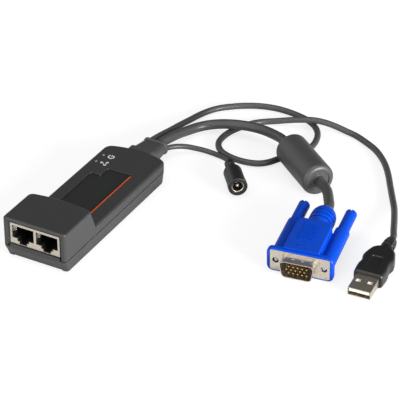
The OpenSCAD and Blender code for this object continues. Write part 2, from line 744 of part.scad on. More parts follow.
module inner_cable_ends() {
    y0 = front_y + header_y + header_box[1];
    y1 = crest_y - flange_y;
    color(soft_grey) for (e = [[usb_exit, usb_cord_d], [vga_exit, vga_cord_d], [dc_exit, dc_cord_d]])
        translate([e[0][0], 0, e[0][1]]) rod_y(e[1], y0, y1);
}

module case_screws() {
    color(silver) for (y = boss_spots, s = [-1, 1]) translate([s * boss_x, front_y + y, seat_z - head_h])
        difference() {
            union() {
                cylinder(d = head_d, h = head_h);
                cylinder(d = screw_d, h = screw_l);
            }
            for (a = [0, 90]) rotate([0, 0, a]) translate([-drive_l / 2, -drive_w / 2, -overrun])
                cube([drive_l, drive_w, drive_d + overrun]);
        }
}

module from_tip() {
    translate([0, tip_y, 0]) children();
}

module at_vga() {
    from_tip() translate(vga_at) rotate(vga_turn) children();
}

module at_usb() {
    from_tip() translate(usb_at) rotate(usb_turn) children();
}

module at_dc() {
    from_tip() translate(dc_at) rotate(dc_turn) children();
}

module at_ferrite() {
    from_tip() translate(ferrite_at) rotate(ferrite_turn) children();
}

module vga_cord_near() {
    color(soft_grey) from_tip() cord(vga_near_route, vga_cord_d, 12);
}

module vga_cord_far() {
    color(soft_grey) from_tip() cord(vga_far_route, vga_cord_d, 12);
}

module vga_cord_core_run() {
    color(soft_grey) at_ferrite() rod_y(vga_cord_d, 0, ferrite_l);
}

module ferrite_cover() {
    r = ferrite_d / 2;
    bore = vga_cord_d / 2 + cord_gap;
    lip = r - ferrite_edge;
    room = core_len / 2 + core_clear;
    color(soft_grey) at_ferrite() difference() {
        along_y() rotate_extrude() polygon(concat([[bore, 0], [bore + ferrite_collar, 0],
            [bore + ferrite_collar, ferrite_step], [lip - ferrite_step, ferrite_step], [lip - ferrite_step, 0]],
            arc([lip, ferrite_edge], ferrite_edge, -90, 0, 2 * corner_steps),
            arc([lip, ferrite_l - ferrite_edge], ferrite_edge, 0, 90, 2 * corner_steps),
            [[lip - ferrite_step, ferrite_l], [lip - ferrite_step, ferrite_l - ferrite_step],
            [bore + ferrite_collar, ferrite_l - ferrite_step], [bore + ferrite_collar, ferrite_l],
            [bore, ferrite_l]]));
        rod_y(core_d, ferrite_l / 2 - core_len / 2, ferrite_l / 2 + core_len / 2);
    }
}

module ferrite_core() {
    color(ferrite_grey) at_ferrite() difference() {
        rod_y(core_d, ferrite_l / 2 - core_len / 2, ferrite_l / 2 + core_len / 2);
        rod_y(core_hole_d, 0, ferrite_l);
    }
}

// Outline of the monitor plug's shell, wide side up, moved outwards by g
function d_path(g) =
    let (w = d_w / 2 + g * (tan(d_slant) + 1 / cos(d_slant)), h = d_h / 2 + g, r = d_r + g,
        lo = w - (2 * h - r) * tan(d_slant) - r / cos(d_slant), hi = w - r * tan(d_slant) - r / cos(d_slant))
    concat(arc([lo, r - h], r, -90, -d_slant, corner_steps), arc([hi, h - r], r, -d_slant, 90, corner_steps),
        arc([-hi, h - r], r, 90, 180 + d_slant, corner_steps),
        arc([-lo, r - h], r, 180 + d_slant, 270, corner_steps));

// Raises an outline drawn in x and z along +Y from y0 to y1
module raised_y(y0, y1) {
    translate([0, y1, 0]) rotate([90, 0, 0]) linear_extrude(y1 - y0) children();
}

module vga_shell() {
    f = flange_plate;
    color(nickel) at_vga() difference() {
        union() {
            raised_y(-d_l, 0) polygon(d_path(0));
            raised_y(-rim_l, 0) polygon(d_path(rim_w));
            raised_y(0, f[2]) polygon(panel(f[0], -f[1] / 2, f[1] / 2, flange_plate_r));
        }
        raised_y(-d_l - overrun, f[2] + overrun) polygon(d_path(-d_wall));
        // Dents in the long sides that grip the mating shell
        for (s = [0, 1], i = [-1.5:1.5]) mirror([0, 0, s]) translate([i * d_w * dent_x_share, -dent_y, d_h / 2 - dent_h])
            cylinder(d1 = dent_d / 2, d2 = dent_d, h = 2 * dent_h);
        for (s = [-1, 1]) translate([s * hole_x, 0, 0]) rod_y(hole_d, -overrun, f[2] + overrun);
    }
}

pin_grid = [for (r = [-1:1], i = [-2:2]) [i * pin_step + (r == 0 ? -pin_step / 4 : pin_step / 4), r * row_step]];

module vga_insulator() {
    color(inlay_black) at_vga() difference() {
        union() {
            raised_y(-core_face, flange_plate[2]) polygon(d_path(-d_wall - core_gap));
            raised_y(flange_plate[2], flange_plate[2] + core_l) polygon(d_path(core_step));
        }
        for (p = pin_grid) translate([p[0], 0, p[1]]) rod_y(2 * pin_r, -pin_tip, pin_tail);
    }
}

module vga_pins() {
    color(gold) at_vga() for (p = pin_grid) translate([p[0], 0, p[1]]) turned_y([[-pin_tip, 0],
        [-pin_tip, pin_r / 2], [-pin_tip + pin_r, pin_r], [pin_tail, pin_r], [pin_tail, 0]]);
}

function hood_plan(d) = [[-hood_w / 2 + d, lip_to / 2], [hood_w / 2 - d, lip_to / 2],
    [hood_w / 2 - d, hood_back - hood_cut - d / 2], [hood_tail_w / 2 - d / 2, hood_back - d],
    [-hood_tail_w / 2 + d / 2, hood_back - d], [-hood_w / 2 + d, hood_back - hood_cut - d / 2]];

module vga_hood() {
    color(blue) at_vga() difference() {
        union() {
            // Front lip round the flange
            along_y() loft([for (q = [[lip_from, lip_edge], [lip_from + lip_edge, 0], [lip_to - lip_edge, 0],
                    [lip_to, lip_edge]])
                at_z(panel(lip_w - 2 * q[1], -lip_h / 2 + q[1], lip_h / 2 - q[1], lip_r - q[1]), q[0])]);
            // Body with rounded upper and lower edges
            loft([at_z(hood_plan(hood_edge), -hood_under),
                at_z(hood_plan(hood_edge / 3), -hood_under + hood_edge / 3),
                at_z(hood_plan(0), -hood_under + hood_edge), at_z(hood_plan(0), hood_top - hood_edge),
                at_z(hood_plan(hood_edge / 3), hood_top - hood_edge / 3), at_z(hood_plan(hood_edge), hood_top)]);
            for (s = [-1, 1]) translate([s * hole_x, 0, 0]) rod_y(2 * tube_r, lip_to / 2, tube_l);
            translate([-hole_x, lip_to / 2, -web_h / 2]) cube([2 * hole_x, web_l, web_h]);
            turned_y(relief_profile);
            for (z = [-hood_under, hood_top]) {
                for (i = [0:rib_count - 1]) translate([-rib_w / 2, rib_from + i * rib_pitch, z - rib_h])
                    cube([rib_w, rib_t, 2 * rib_h]);
                translate([-rib_w / 4, rib_lone, z - rib_h]) cube([rib_w * 2 / 3, rib_t, 2 * rib_h]);
            }
        }
        raised_y(lip_from - overrun, flange_plate[2])
            polygon(panel(flange_plate[0] + 2 * pocket_gap, -flange_plate[1] / 2 - pocket_gap,
                flange_plate[1] / 2 + pocket_gap, flange_plate_r));
        raised_y(flange_plate[2] - overrun, pocket_l) polygon(d_path(core_step + pocket_gap));
        for (s = [-1, 1]) translate([s * hole_x, 0, 0]) {
            rod_y(jack_screw_d + 2 * screw_bore_gap, 0, tube_l);
            rod_y(knob_d + 2 * knob_bore_gap, knob_bore_y, tube_l + overrun);
        }
    }
}

module thumb_knob(s) {
    r = knob_d / 2;
    color(blue) at_vga() translate([s * hole_x, 0, 0]) difference() {
        turned_y([[knob_y, 0], [knob_y, r - knob_edge], [knob_y + knob_edge, r], [knob_end - knob_edge, r],
            [knob_end, r - knob_edge], [knob_end, 0]]);
        rod_y(jack_screw_d + 2 * seat_gap, knob_y - overrun, jack_screw_seat);
        translate([-knob_slot_w / 2, knob_end - knob_slot_d, -r - overrun])
            cube([knob_slot_w, knob_slot_d + overrun, 2 * r + 2 * overrun]);
    }
}

module left_thumb_knob() {
    thumb_knob(-1);
}

module right_thumb_knob() {
    thumb_knob(1);
}

module jackscrew(s) {
    r = jack_screw_d / 2;
    color(silver) at_vga() translate([s * hole_x, 0, 0])
        turned_y([[jack_screw_tip, 0], [jack_screw_tip, r / 2], [jack_screw_tip + r / 2, r],
            [jack_screw_seat, r], [jack_screw_seat, 0]]);
}

module left_jackscrew() {
    jackscrew(-1);
}

module right_jackscrew() {
    jackscrew(1);
}

module usb_cord() {
    color(soft_grey) from_tip() cord(usb_route, usb_cord_d, 8);
}

module usb_shell() {
    color(nickel) at_usb() difference() {
        raised_y(-usb_l, usb_in) polygon(panel(usb_w, -usb_h / 2, usb_h / 2, usb_r));
        raised_y(-usb_l - overrun, usb_in + overrun)
            polygon(panel(usb_w - 2 * usb_t, -usb_h / 2 + usb_t, usb_h / 2 - usb_t, usb_r - usb_t));
        for (s = [-1, 1]) translate([s * usb_hole_x - usb_hole[0] / 2, -usb_hole_y - usb_hole[1] / 2, -usb_h])
            cube([usb_hole[0], usb_hole[1], 2 * usb_h]);
    }
}

// The block lies under the shell's top, so its contacts face the floor
module usb_tongue_block() {
    color(light_grey) at_usb() translate([-usb_tongue[0] / 2, usb_tongue_in - usb_l, usb_h / 2 - usb_t - usb_tongue[1]])
        cube([usb_tongue[0], usb_l + usb_in - usb_tongue_in, usb_tongue[1]]);
}

module usb_contacts() {
    color(gold) at_usb() for (x = usb_pads)
        translate([x - usb_pad_w / 2, usb_pad_in - usb_l, usb_h / 2 - usb_t - usb_tongue[1] - usb_pad_t])
            cube([usb_pad_w, usb_l + usb_in / 2, usb_pad_t]);
}

module usb_overmould() {
    color(port_black) at_usb() difference() {
        union() {
            along_y() loft([for (q = mould_rings) at_z(panel(2 * q[1], -q[2], q[2], mould_r), q[0])]);
            turned_y(usb_relief);
        }
        raised_y(-overrun, usb_in) polygon(panel(usb_w + 2 * usb_gap, -usb_h / 2 - usb_gap, usb_h / 2 + usb_gap, usb_r));
        for (s = [0, 1]) mirror([0, 0, s]) translate([0, 0, mould_rings[5][2] - grip_d])
            linear_extrude(grip_d + overrun) polygon(panel(grip_w, grip_from, grip_to, grip_r));
    }
}

module dc_cord() {
    color(soft_grey) from_tip() cord(dc_route, dc_cord_d, 8);
}

module dc_overmould() {
    color(port_black) at_dc() difference() {
        turned_y(dc_profile);
        rod_y(sleeve_d + 2 * sleeve_gap, -overrun, sleeve_l);
    }
}

module dc_sleeve() {
    color(nickel) at_dc() along_y() rotate_extrude() polygon([[sleeve_in / 2, sleeve_flare], [sleeve_in / 2 + sleeve_flare, 0],
        [sleeve_d / 2, 0], [sleeve_d / 2, sleeve_l], [sleeve_in / 2, sleeve_l]]);
}

module dc_insulator() {
    color(inlay_black) at_dc() difference() {
        rod_y(sleeve_in - 2 * sleeve_gap, sleeve_l - dc_disc_t, sleeve_l);
        rod_y(dc_pin_d + 2 * sleeve_gap, 0, sleeve_l + overrun);
    }
}

module dc_pin() {
    r = dc_pin_d / 2;
    color(nickel) at_dc() turned_y([[dc_pin_in, 0], [dc_pin_in, r - dc_pin_r], [dc_pin_in + dc_pin_r, r],
        [sleeve_l, r], [sleeve_l, 0]]);
}

upper_shell();
lower_shell();
label_inlay();
accent_stripe();
light_pipes();
jack_shield();
jack_insert();
jack_contacts();
strain_relief_boot();
circuit_board();
processor_chip();
video_chip();
memory_chips();
network_magnetics();
power_inductors();
board_capacitors();
status_leds();
wire_header();
inner_cable_ends();
case_screws();
vga_cord_near();
vga_cord_core_run();
vga_cord_far();
ferrite_cover();
ferrite_core();
vga_hood();
vga_shell();
vga_insulator();
vga_pins();
left_thumb_knob();
right_thumb_knob();
left_jackscrew();
right_jackscrew();
usb_cord();
usb_overmould();
usb_shell();
usb_tongue_block();
usb_contacts();
dc_cord();
dc_overmould();
dc_sleeve();
dc_insulator();
dc_pin();
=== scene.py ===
import json
import math

import bmesh
import bpy
from mathutils import Matrix, Vector


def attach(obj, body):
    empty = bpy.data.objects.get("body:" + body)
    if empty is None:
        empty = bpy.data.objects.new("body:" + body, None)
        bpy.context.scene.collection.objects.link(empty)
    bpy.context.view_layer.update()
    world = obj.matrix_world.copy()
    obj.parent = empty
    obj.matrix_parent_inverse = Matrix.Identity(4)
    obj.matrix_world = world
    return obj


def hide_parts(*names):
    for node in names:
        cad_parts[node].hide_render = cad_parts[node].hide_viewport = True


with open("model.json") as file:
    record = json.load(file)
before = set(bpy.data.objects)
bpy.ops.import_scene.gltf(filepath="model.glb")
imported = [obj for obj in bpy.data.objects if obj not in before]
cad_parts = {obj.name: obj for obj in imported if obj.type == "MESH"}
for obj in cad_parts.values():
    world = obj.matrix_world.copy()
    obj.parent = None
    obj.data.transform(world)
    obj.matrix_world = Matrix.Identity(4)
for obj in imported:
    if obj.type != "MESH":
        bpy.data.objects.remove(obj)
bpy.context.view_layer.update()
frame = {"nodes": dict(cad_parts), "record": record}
nodes = frame["nodes"]
bodyOf = {n: b for b, ns in frame["record"]["behaviour"]["bodies"].items() for n in ns}
mm = 0.001
scene = bpy.context.scene
print("frame loaded,", len(nodes), "nodes")

cameraFit = {
    "azimuth": 28.453,
    "elevation": 32.57,
    "roll": 0.227,
    "distance": 1.0056,
    "lookAt": (0.04268, 0.03235, 0.0),
    "focalShare": 1914.635 / 400,  # focal length over the picture's width
    "sensor": 36.0,
    "clip": (0.01, 20),
}


def addObject(name, data):
    added = bpy.data.objects.new(name, data)
    scene.collection.objects.link(added)
    return added


def makeCamera(fit):
    azimuth, elevation, roll = (math.radians(fit[k]) for k in ("azimuth", "elevation", "roll"))
    back = Vector((math.sin(azimuth) * math.cos(elevation), -math.cos(azimuth) * math.cos(elevation),
                   math.sin(elevation)))
    right = (-back).cross(Vector((0, 0, 1))).normalized()
    up = right.cross(-back)
    side = right * math.cos(roll) + up * math.sin(roll)
    top = up * math.cos(roll) - right * math.sin(roll)
    data = bpy.data.cameras.new("camera")
    data.sensor_width = fit["sensor"]
    data.lens = fit["focalShare"] * fit["sensor"]
    data.clip_start, data.clip_end = fit["clip"]
    camera = addObject("camera", data)
    place = Matrix((side, top, back)).transposed().to_4x4()
    place.translation = Vector(fit["lookAt"]) + back * fit["distance"]
    camera.matrix_world = place
    scene.camera = camera


makeCamera(cameraFit)
print("camera set")


def linearColour(code):
    parts = [int(code[i:i + 2], 16) / 255 for i in (1, 3, 5)]
    return [c / 12.92 if c <= 0.04045 else ((c + 0.055) / 1.055) ** 2.4 for c in parts] + [1.0]


def addNode(tree, kind, settings=None, inputs=None):
    node = tree.nodes.new(kind)
    for name, value in (settings or {}).items():
        setattr(node, name, value)
    for name, value in (inputs or {}).items():
        if isinstance(value, bpy.types.NodeSocket):
            tree.links.new(value, node.inputs[name])
        else:
            node.inputs[name].default_value = value
    return node


def startMaterial(name):
    material = bpy.data.materials.new(name)
    material.use_nodes = True
    tree = material.node_tree
    tree.nodes.clear()
    shader = addNode(tree, "ShaderNodeBsdfPrincipled")
    addNode(tree, "ShaderNodeOutputMaterial", inputs={"Surface": shader.outputs["BSDF"]})
    place = addNode(tree, "ShaderNodeTexCoord").outputs["Object"]
    return material, tree, shader, place


noiseBand = (0.3, 0.7)  # nearly all of a noise texture's values lie in here
plastic = {"mottleMm": 9.0, "mottleDetail": 4.0, "grainDetail": 3.0, "grainRoughness": 0.6, "spread": 0.08,
           "bump": 0.6}
metal = {"patchMm": 4.0, "patchDetail": 3.0, "lineDetail": 4.0, "lineRoughness": 0.7, "least": 0.7, "most": 1.4,
         "bump": 0.4}


def tintBetween(tree, shader, noise, colour, other):
    tint = addNode(tree, "ShaderNodeMix", {"data_type": "RGBA"})
    tree.links.new(noise.outputs["Fac"], tint.inputs["Factor"])
    tint.inputs["A"].default_value = linearColour(colour)
    tint.inputs["B"].default_value = linearColour(other)
    tree.links.new(tint.outputs["Result"], shader.inputs["Base Color"])


def roughBetween(tree, shader, noise, least, most):
    low, high = noiseBand
    spread = addNode(tree, "ShaderNodeMapRange",
                     inputs={"Value": noise.outputs["Fac"], "From Min": low, "From Max": high,
                             "To Min": least, "To Max": most})
    tree.links.new(spread.outputs["Result"], shader.inputs["Roughness"])


def bumpFrom(tree, shader, noise, strength, depthMm):
    relief = addNode(tree, "ShaderNodeBump",
                     inputs={"Height": noise.outputs["Fac"], "Strength": strength, "Distance": depthMm * mm})
    tree.links.new(relief.outputs["Normal"], shader.inputs["Normal"])


def mouldedPlastic(name, colour, shade, roughness, grainMm, grainDepthMm, gloss=1.5):
    # Injection-moulded surface: an even colour that drifts a little, over a fine texture from the mould
    material, tree, shader, place = startMaterial(name)
    grain = addNode(tree, "ShaderNodeTexNoise",
                    inputs={"Vector": place, "Scale": 1000 / grainMm, "Detail": plastic["grainDetail"],
                            "Roughness": plastic["grainRoughness"]})
    drift = addNode(tree, "ShaderNodeTexNoise",
                    inputs={"Vector": place, "Scale": 1000 / plastic["mottleMm"], "Detail": plastic["mottleDetail"]})
    tintBetween(tree, shader, drift, colour, shade)
    roughBetween(tree, shader, grain, roughness - plastic["spread"], roughness + plastic["spread"])
    bumpFrom(tree, shader, grain, plastic["bump"], grainDepthMm)
    shader.inputs["IOR"].default_value = gloss
    return material


def platedMetal(name, colour, dull, roughness, lineMm, depthMm, stretch=(1, 1, 1)):
    # Thin plating over pressed sheet: bright, with faint drawing lines and duller patches
    material, tree, shader, place = startMaterial(name)
    stretched = addNode(tree, "ShaderNodeMapping", inputs={"Vector": place, "Scale": stretch})
    lines = addNode(tree, "ShaderNodeTexNoise",
                    inputs={"Vector": stretched.outputs["Vector"], "Scale": 1000 / lineMm,
                            "Detail": metal["lineDetail"], "Roughness": metal["lineRoughness"]})
    patches = addNode(tree, "ShaderNodeTexNoise",
                      inputs={"Vector": place, "Scale": 1000 / metal["patchMm"], "Detail": metal["patchDetail"]})
    tintBetween(tree, shader, patches, colour, dull)
    roughBetween(tree, shader, lines, roughness * metal["least"], roughness * metal["most"])
    bumpFrom(tree, shader, lines, metal["bump"], depthMm)
    shader.inputs["Metallic"].default_value = 1.0
    return material


# Housing: dark ABS from a spark-eroded mould, whose fine tooth breaks the highlights
mouldedAbs = mouldedPlastic("mouldedAbs", "#303031", "#2c2c2d", 0.42, 0.45, 0.012)
# Label field: matte polycarbonate film, darker and smoother than the housing round it
labelFilm = mouldedPlastic("labelFilm", "#1b1c1c", "#181919", 0.45, 0.6, 0.004)
# Stripe: pad-printed satin enamel on a moulded strip
stripeEnamel = mouldedPlastic("stripeEnamel", "#d9541a", "#cf4d16", 0.4, 0.5, 0.003)
# Light pipes: milky acrylic that is off
milkyAcrylic = mouldedPlastic("milkyAcrylic", "#8d8e8c", "#848583", 0.2, 0.4, 0.002, gloss=1.49)
# Marks: white pad-printing ink
markInk = mouldedPlastic("markInk", "#d9d9d7", "#cbcbc9", 0.55, 0.2, 0.003)
# Shields and shells: nickel over pressed steel, warm and satin
nickelPlate = platedMetal("nickelPlate", "#cfc8ba", "#bfb7a8", 0.28, 0.25, 0.003, (1, 6, 1))
# Contacts: flash gold over brass
flashGold = platedMetal("flashGold", "#e3c07c", "#d3ab62", 0.25, 0.2, 0.002)
# Screws: zinc plate
zincPlate = platedMetal("zincPlate", "#b4b4b4", "#a0a0a0", 0.35, 0.2, 0.003)
# Port moulding and insulators: black glass-filled nylon; the same material is also put on the housing recess's walls
# as painted shade
blackNylonAndRecessShade = mouldedPlastic("blackNylonAndRecessShade", "#131313", "#0f0f0f", 0.5, 0.3, 0.006)
# Face round the pins: brown-black glass-filled nylon
brownNylon = mouldedPlastic("brownNylon", "#33241c", "#2b1e17", 0.4, 0.3, 0.006)
# Leads and relief: soft PVC, extruded smooth with a faint matt bloom
leadPvc = mouldedPlastic("leadPvc", "#3e3e3f", "#39393a", 0.42, 0.5, 0.006, gloss=1.53)
# Hood and knobs: blue PVC moulded with a satin face
bluePvc = mouldedPlastic("bluePvc", "#0040b6", "#003cab", 0.36, 0.4, 0.008, gloss=1.28)
# Black plugs: soft PVC with a satin face
blackPvc = mouldedPlastic("blackPvc", "#101010", "#0d0d0d", 0.38, 0.4, 0.008, gloss=1.53)
# Board: green solder mask over glass epoxy
solderMask = mouldedPlastic("solderMask", "#1f5a36", "#1a4c2d", 0.3, 0.8, 0.006)
# Packages: black mould compound
mouldCompound = mouldedPlastic("mouldCompound", "#1c1c1e", "#18181a", 0.6, 0.2, 0.006)
# Ferrite: sintered ceramic, grey-black and dry
sinteredFerrite = mouldedPlastic("sinteredFerrite", "#3a3a3d", "#323235", 0.7, 0.3, 0.02)
# Capacitor cans: bare drawn aluminium
drawnAluminium = platedMetal("drawnAluminium", "#c9cbcd", "#b9bbbd", 0.3, 0.3, 0.003, (1, 1, 8))
# Header: natural nylon, cream and waxy
naturalNylon = mouldedPlastic("naturalNylon", "#e3dfd2", "#d8d4c6", 0.5, 0.5, 0.004)
print("materials made")


tipY = 61.0  # millimetres; the routes' own y starts at the housing's rear tip
leadFineness = {"round": 6, "along": 6}
leads = {
    "usbLead": {
        "node": "usb_cord", "diameter": 3.5, "stiffness": "medium", "farEnd": "plug",
        "with": ["usb_overmould", "usb_shell", "usb_tongue_block", "usb_contacts"],
        "route": [(-3.8, 0, 7), (-3.8, 3, 7), (-3.08, 8.78, 6.6), (-1.76, 18.56, 5.5),
                  (-1.14, 28.34, 4), (-0.02, 38.62, 2.6), (1.4, 47.4, 1.8), (4.1, 53.9, 1.8),
                  (7.6, 59.2, 1.8), (12.1, 63.4, 1.8), (16.6, 66.9, 1.8), (21.6, 69.9, 1.8),
                  (26.6, 72.2, 1.8), (32.1, 73.7, 1.8), (38.1, 74.4, 1.8), (44.6, 74, 1.8),
                  (51.1, 72.8, 1.8), (56.6, 71.1, 1.8), (61.1, 68.6, 1.8), (65.2, 64.9, 1.8),
                  (68.5, 60.1, 1.8), (70.7, 54.1, 1.8), (71.6, 47.4, 1.8), (70.8, 40.9, 1.8),
                  (68, 35.2, 1.8), (64.5, 30, 1.8), (61.4, 25.4, 1.8), (58.7, 20.6, 1.8),
                  (54.9, 16.7, 1.8), (49.8, 14.7, 1.8), (44, 14.1, 1.8), (37.6, 14.9, 1.8),
                  (31.8, 17.1, 1.8), (27.6, 20.7, 1.8), (25, 25.4, 1.8), (24.2, 30.9, 1.8),
                  (24.8, 37.4, 1.8), (26.6, 43.1, 1.8), (29.4, 49.1, 1.8), (32.8, 54.1, 1.8),
                  (37, 57.9, 1.8), (41.94, 60.53, 2.2), (47.19, 62.59, 3.1), (52.77, 63.98, 4.3),
                  (58.47, 65.14, 5.4), (64.11, 66.56, 5.8), (69.65, 68.21, 5), (75.35, 69.4, 3.6),
                  (81.5, 69.43, 2.4), (88.1, 68.4, 1.8), (95.6, 64.7, 1.8), (102.9, 60.3, 1.8),
                  (108.9, 54.9, 1.8), (114.6, 48.2, 1.8), (120.3, 39.4, 1.8), (125.6, 29.9, 1.8),
                  (131.4, 19.5, 1.9), (136.48, 10.12, 2.5), (140.66, 0.74, 3.8), (144.64, -9.04, 5.3),
                  (147.32, -15.82, 6.4), (149.3, -20.4, 6.8), (150.1, -24.41, 6.49)],
    },
    "vgaLeadNear": {
        "node": "vga_cord_near", "diameter": 5.5, "stiffness": "stiff", "farEnd": "fitting",
        "with": ["ferrite_cover", "ferrite_core", "vga_cord_core_run"],
        "route": [(0.9, 0, 6.3), (1.2, 4, 6.3), (2.19, 9.15, 6.1), (3.38, 16.3, 5.3),
                  (5.67, 24.94, 4.1), (8.87, 31.94, 3.7), (13.57, 36.34, 4.2), (19.17, 38.14, 5.4),
                  (24.97, 39.04, 6.5), (30.97, 40.34, 6.9), (37.87, 41.64, 6.8), (45.07, 41.34, 6.9),
                  (51.88, 39.3, 7.3), (58.19, 35.55, 8.5), (63.1, 31.9, 9), (66.69, 28.98, 9)],
    },
    "vgaLeadFar": {
        "node": "vga_cord_far", "diameter": 5.5, "stiffness": "stiff", "farEnd": "plug",
        "with": ["vga_hood", "vga_shell", "vga_insulator", "vga_pins"],
        "route": [(95.24, 5.45, 9), (97.8, 3.35, 9.05), (101.2, 0.6, 9.2), (104.7, -4, 9.6),
                  (108, -10, 10.3), (110.8, -15.3, 10.9), (112.42, -20.3, 11.25), (112.86, -23.26, 10.99)],
    },
    "dcLead": {
        "node": "dc_cord", "diameter": 2.9, "stiffness": "medium", "farEnd": "connector",
        "with": ["dc_overmould", "dc_sleeve", "dc_insulator", "dc_pin"],
        "route": [(5.2, 0, 5), (5.7, 2.2, 4.9), (8.43, 6.21, 4.5), (12.67, 10.02, 3.7),
                  (17.67, 12.52, 2.7), (22.87, 14.02, 1.9), (28.57, 14.12, 1.5), (34.07, 12.22, 2.2),
                  (38.63, 9.11, 3.6), (40.8, 6.9, 4.4), (42.36, 4.84, 4.58)],
    },
}
pieces = {}


def camelName(node):
    return "".join(w.capitalize() if i else w for i, w in enumerate(node.split("_")))


def makeLead(name, lead):
    # A round lead whose curve passes through every point of its route
    points = [Vector((x, y + tipY, z)) * mm for x, y, z in lead["route"]]
    curve = bpy.data.curves.new(name, "CURVE")
    curve.dimensions = "3D"
    curve.bevel_depth = lead["diameter"] / 2 * mm
    curve.bevel_resolution = leadFineness["round"]
    curve.resolution_u = leadFineness["along"]
    curve.use_fill_caps = True
    spline = curve.splines.new("BEZIER")
    spline.bezier_points.add(len(points) - 1)
    for i, (knot, point) in enumerate(zip(spline.bezier_points, points)):
        before, after = points[max(i - 1, 0)], points[min(i + 1, len(points) - 1)]
        along = (after - before).normalized()
        knot.handle_left_type = knot.handle_right_type = "FREE"
        knot.co = point
        knot.handle_left = point - along * (point - before).length / 3
        knot.handle_right = point + along * (after - point).length / 3
    curve.materials.append(leadPvc)
    piece = pieces[name] = addObject(name, curve)
    length = sum((b - a).length for a, b in zip(points, points[1:]))
    return piece, points[0], length


leadFacts = {name: makeLead(name, lead) for name, lead in leads.items()}
print("leads laid")


finish = {
    "weld": 2e-6,  # metres
    "flatDegrees": 0.4,
    "joinRounds": 6,
    "unknownAngle": 4.0,  # radians, over any limit: what a face without a normal counts as
    "segments": 2,
    "sharpDegrees": 34.0,
    "roundedWeight": 50,
    "plainWeight": 100,
}


def joinFlats(build):
    # Joins level neighbours face by face, and leaves a seam where a join would close round a hole
    limit = math.radians(finish["flatDegrees"])
    for _ in range(finish["joinRounds"]):
        joined = 0
        for edge in [e for e in build.edges if len(e.link_faces) == 2]:
            if not edge.is_valid or len(edge.link_faces) != 2:
                continue
            one, other = edge.link_faces
            if one is other or one.normal.angle(other.normal, finish["unknownAngle"]) > limit:
                continue
            sharedEdges = set(one.edges) & set(other.edges)
            sharedVerts = set(one.verts) & set(other.verts)
            if len(sharedVerts) != len(sharedEdges) + 1:
                continue
            try:
                merged = bmesh.utils.face_join((one, other))
            except ValueError:
                continue
            if merged:
                merged.normal_update()
                joined += 1
        if not joined:
            break


# Pieces whose edges stand too close for a free rounding
closeSet = {"jack_insert", "strain_relief_boot"}


def finerCopy(node, material, edgeMm, sharpDegrees):
    # The solid with its faces joined into flats, every sharp edge rounded and its shading kept flat on flats.
    # A piece with an edge of 0 keeps its own faces and gets no rounding
    sharpest = math.radians(sharpDegrees)
    mesh = nodes[node].data.copy()
    name = camelName(node)
    build = bmesh.new()
    build.from_mesh(mesh)
    bmesh.ops.remove_doubles(build, verts=build.verts, dist=finish["weld"])
    if edgeMm:
        joinFlats(build)
    for face in build.faces:
        face.smooth = True
    if not edgeMm:
        for edge in build.edges:
            edge.smooth = len(edge.link_faces) == 2 and edge.calc_face_angle() < sharpest
    build.to_mesh(mesh)
    build.free()
    mesh.materials.clear()
    mesh.materials.append(material)
    piece = pieces[name] = addObject(name, mesh)
    if edgeMm:
        rounding = piece.modifiers.new("edges", "BEVEL")
        rounding.width = edgeMm * mm
        rounding.segments = finish["segments"]
        rounding.limit_method = "ANGLE"
        rounding.angle_limit = sharpest
        rounding.use_clamp_overlap = node in closeSet
        rounding.miter_outer = "MITER_ARC"
    shading = piece.modifiers.new("shading", "WEIGHTED_NORMAL")
    shading.keep_sharp = True
    shading.weight = finish["roundedWeight"] if edgeMm else finish["plainWeight"]
    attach(piece, bodyOf[node])
    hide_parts(node)


def startTree(name, sizes):
    tree = bpy.data.node_groups.new(name, "GeometryNodeTree")
    tree.interface.new_socket("Geometry", in_out="INPUT", socket_type="NodeSocketGeometry")
    tree.interface.new_socket("Geometry", in_out="OUTPUT", socket_type="NodeSocketGeometry")
    for size, value in sizes.items():
        kind = "NodeSocketInt" if isinstance(value, int) else "NodeSocketFloat"
        tree.interface.new_socket(size, in_out="INPUT", socket_type=kind).default_value = value
    return tree, tree.nodes.new("NodeGroupInput").outputs


def calc(tree, operation, a, b=0.0):
    return addNode(tree, "ShaderNodeMath", {"operation": operation}, {0: a, 1: b}).outputs[0]


def middleOf(tree, count):
    return calc(tree, "MULTIPLY", calc(tree, "SUBTRACT", count, 1.0), 0.5)


def endTree(tree, instances, material):
    real = addNode(tree, "GeometryNodeRealizeInstances", inputs={"Geometry": instances})
    smooth = addNode(tree, "GeometryNodeSetShadeSmooth", inputs={"Geometry": real.outputs[0]})
    dressing = addNode(tree, "GeometryNodeSetMaterial",
                       inputs={"Geometry": smooth.outputs[0], "Material": material})
    addNode(tree, "NodeGroupOutput", inputs={"Geometry": dressing.outputs[0]})


def growPiece(name, data, tree, sizes, place):
    # Runs a tree on the data, keeps the result as a plain mesh and sets it in its place
    source = addObject(name + "Source", data)
    modifier = source.modifiers.new("grow", "NODES")
    modifier.node_group = tree
    for item in tree.interface.items_tree:
        if item.in_out == "INPUT" and item.name in sizes:
            modifier[item.identifier] = sizes[item.name]
    graph = bpy.context.evaluated_depsgraph_get()
    mesh = bpy.data.meshes.new_from_object(source.evaluated_get(graph))
    source.modifiers.remove(modifier)
    bpy.data.objects.remove(source)
    mesh.transform(place)
    pieces[name] = addObject(name, mesh)
    return pieces[name]


# Monitor plug's pins: rows of round contacts with bullet tips, the middle row set half a step aside
pinSizes = {"Columns": 5, "Rows": 3, "Pitch": 2.29 * mm, "Row Pitch": 1.98 * mm, "Radius": 0.38 * mm,
            "Tip": -5.2 * mm, "Tail": 5.6 * mm}
